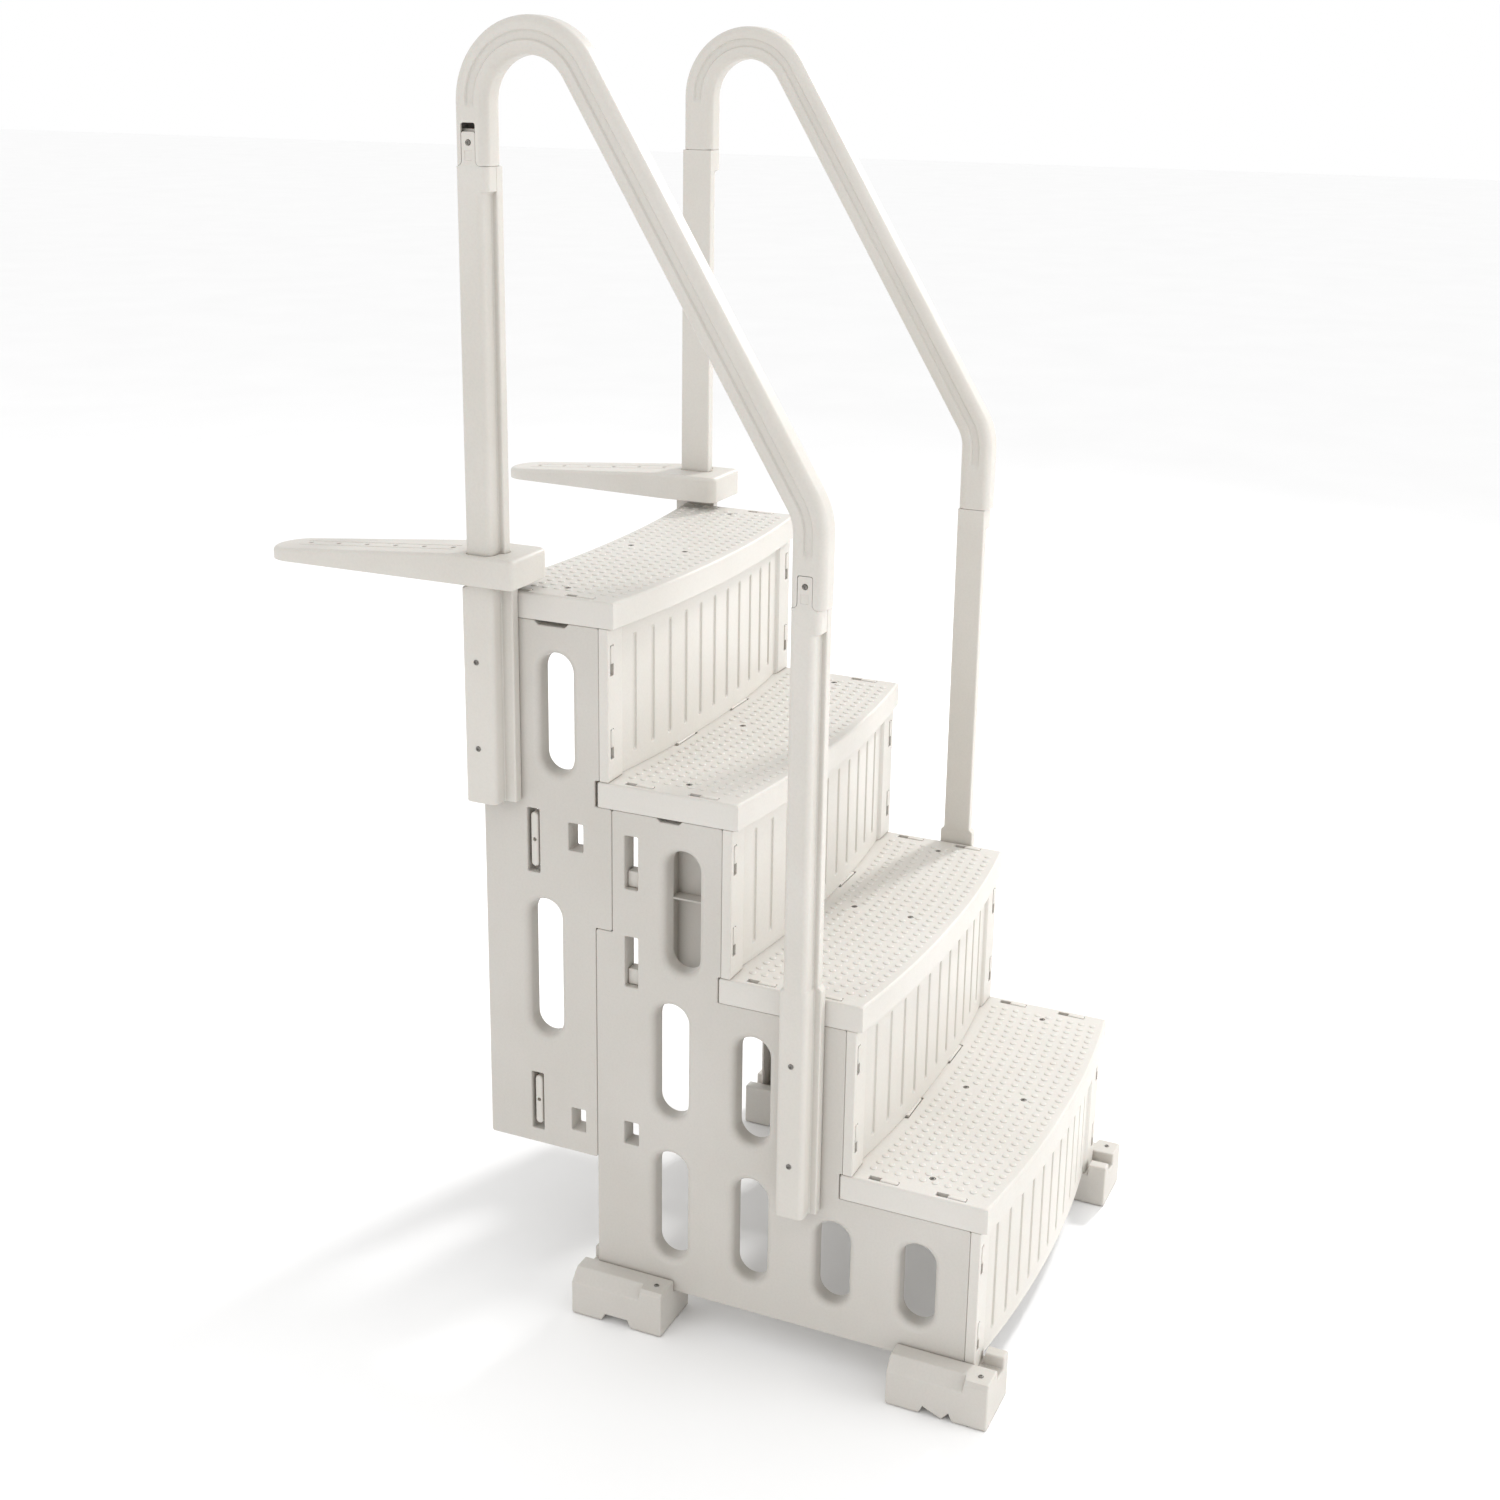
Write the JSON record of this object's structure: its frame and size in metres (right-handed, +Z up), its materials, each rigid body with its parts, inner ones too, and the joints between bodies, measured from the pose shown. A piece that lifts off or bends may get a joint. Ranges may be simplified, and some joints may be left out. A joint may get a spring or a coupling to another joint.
{
  "type": "pool ladder",
  "caption": "In-pool step ladder with bowed treads, slotted stepped side panels, bent handrails on both sides and sliding deck flanges.",
  "frame": {"origin": "on the floor under the middle of the ladder's bounding box", "axes": "+Z up, +Y the way up the stairs towards the deck, X across the treads"},
  "size_m": [0.818, 1.254, 2.0499],
  "materials": {
    "tread_plastic": "fine moulded grain with raised grip dimples",
    "riser_plastic": "fine moulded grain",
    "panel_plastic": "fine moulded grain",
    "rail_plastic": "smooth satin moulded",
    "flange_plastic": "smooth satin moulded",
    "foot_plastic": "fine moulded grain",
    "latch_plastic": "smooth satin moulded",
    "screw_steel": "stainless, dull"
  },
  "bodies": {
    "ladder": {"tread_1": "tread_plastic", "tread_2": "tread_plastic", "tread_3": "tread_plastic", "tread_4": "tread_plastic", "riser_1": "riser_plastic", "riser_2": "riser_plastic", "riser_3": "riser_plastic", "riser_4": "riser_plastic", "lower_side_panel_left": "panel_plastic", "lower_side_panel_right": "panel_plastic", "rear_side_panel_left": "panel_plastic", "rear_side_panel_right": "panel_plastic", "upper_rail_left": "rail_plastic", "upper_rail_right": "rail_plastic", "front_leg_left": "rail_plastic", "front_leg_right": "rail_plastic", "rear_leg_left": "rail_plastic", "rear_leg_right": "rail_plastic", "front_foot_left": "foot_plastic", "front_foot_right": "foot_plastic", "rear_foot_left": "foot_plastic", "rear_foot_right": "foot_plastic", "tread_latches": "latch_plastic", "riser_latches": "latch_plastic", "panel_keys_left": "latch_plastic", "panel_keys_right": "latch_plastic", "rail_screws": "screw_steel", "leg_screws": "screw_steel", "tread_screws": "screw_steel", "foot_screws": "screw_steel"},
    "left_deck_flange": {"deck_flange_left": "flange_plastic"},
    "right_deck_flange": {"deck_flange_right": "flange_plastic"}
  },
  "joints": [
    {"name": "left_flange_slide", "type": "slide", "parent": "ladder", "child": "left_deck_flange", "axis": [0, 0, 1], "range_m": [0, 0.15]},
    {"name": "right_flange_slide", "type": "slide", "parent": "ladder", "child": "right_deck_flange", "axis": [0, 0, 1], "range_m": [0, 0.15]}
  ]
}
